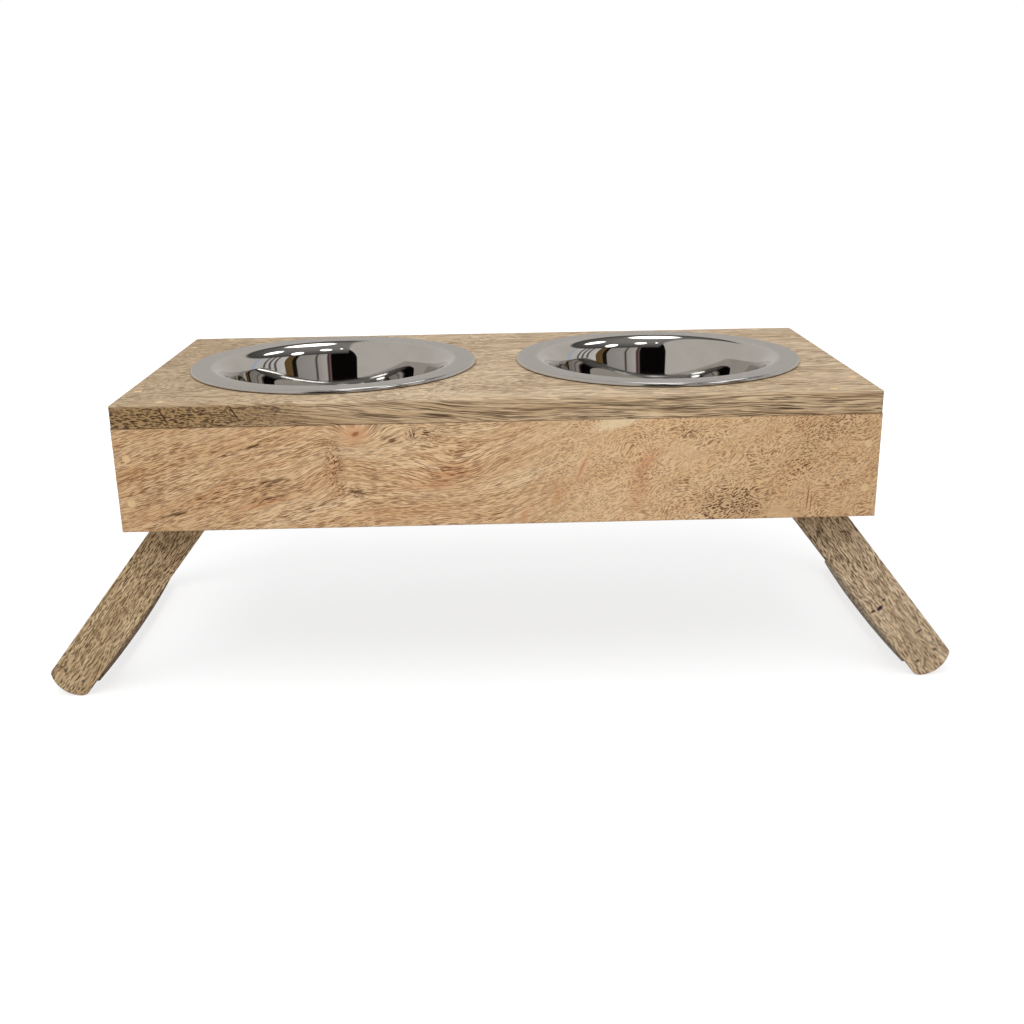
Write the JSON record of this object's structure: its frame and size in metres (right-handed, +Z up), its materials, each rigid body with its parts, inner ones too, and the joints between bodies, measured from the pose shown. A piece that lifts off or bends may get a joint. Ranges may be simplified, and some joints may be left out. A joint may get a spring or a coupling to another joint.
{
  "type": "elevated dog feeder",
  "caption": "Low wooden dog feeder: a bottomless box with lift-out steel bowls in its top board and splayed leg frames that fold up flat inside the box.",
  "frame": {"origin": "on the floor, under the middle of the box, with the legs open", "axes": "+X along the box to the right, +Y to the back, +Z up"},
  "size_m": [0.776, 0.305, 0.2631],
  "materials": {
    "mango_top": "matt oiled mango wood, grey-tan with fine dark streaks",
    "mango_apron": "matt oiled mango wood, warm tan with swirled figure",
    "mango_leg": "matt oiled mango wood, grey-tan with dark dashes",
    "wood_filler": "pale wood filler, sanded flush",
    "polished_steel": "stainless steel, mirror inside and satin flange",
    "zinc_steel": "zinc-plated fasteners"
  },
  "bodies": {
    "box": {"top_board": "mango_top", "front_apron": "mango_apron", "rear_apron": "mango_apron", "left_end_apron": "mango_apron", "right_end_apron": "mango_apron", "top_screws": "zinc_steel", "top_plugs": "wood_filler", "front_apron_screws": "zinc_steel", "front_apron_plugs": "wood_filler", "rear_apron_screws": "zinc_steel", "rear_apron_plugs": "wood_filler", "left_front_pivot_screw": "zinc_steel", "left_front_spacer_washer": "zinc_steel", "left_front_head_washer": "zinc_steel", "left_rear_pivot_screw": "zinc_steel", "left_rear_spacer_washer": "zinc_steel", "left_rear_head_washer": "zinc_steel", "right_front_pivot_screw": "zinc_steel", "right_front_spacer_washer": "zinc_steel", "right_front_head_washer": "zinc_steel", "right_rear_pivot_screw": "zinc_steel", "right_rear_spacer_washer": "zinc_steel", "right_rear_head_washer": "zinc_steel"},
    "left_leg_frame": {"left_front_leg": "mango_leg", "left_rear_leg": "mango_leg", "left_crossbar": "mango_leg", "left_front_foot_brads": "zinc_steel", "left_rear_foot_brads": "zinc_steel"},
    "right_leg_frame": {"right_front_leg": "mango_leg", "right_rear_leg": "mango_leg", "right_crossbar": "mango_leg", "right_front_foot_brads": "zinc_steel", "right_rear_foot_brads": "zinc_steel"},
    "left_bowl": {"left_bowl": "polished_steel"},
    "right_bowl": {"right_bowl": "polished_steel"}
  },
  "joints": [
    {"name": "left_leg_fold", "type": "hinge", "parent": "box", "child": "left_leg_frame", "pos_m": [-0.23834, 0, 0.18496], "axis": [0, -1, 0], "range_deg": [0, 128]},
    {"name": "right_leg_fold", "type": "hinge", "parent": "box", "child": "right_leg_frame", "pos_m": [0.23834, 0, 0.18496], "axis": [0, 1, 0], "range_deg": [0, 128]},
    {"name": "left_bowl_lift", "type": "slide", "parent": "box", "child": "left_bowl", "axis": [0, 0, 1], "range_m": [0, 0.1]},
    {"name": "right_bowl_lift", "type": "slide", "parent": "box", "child": "right_bowl", "axis": [0, 0, 1], "range_m": [0, 0.1]}
  ]
}
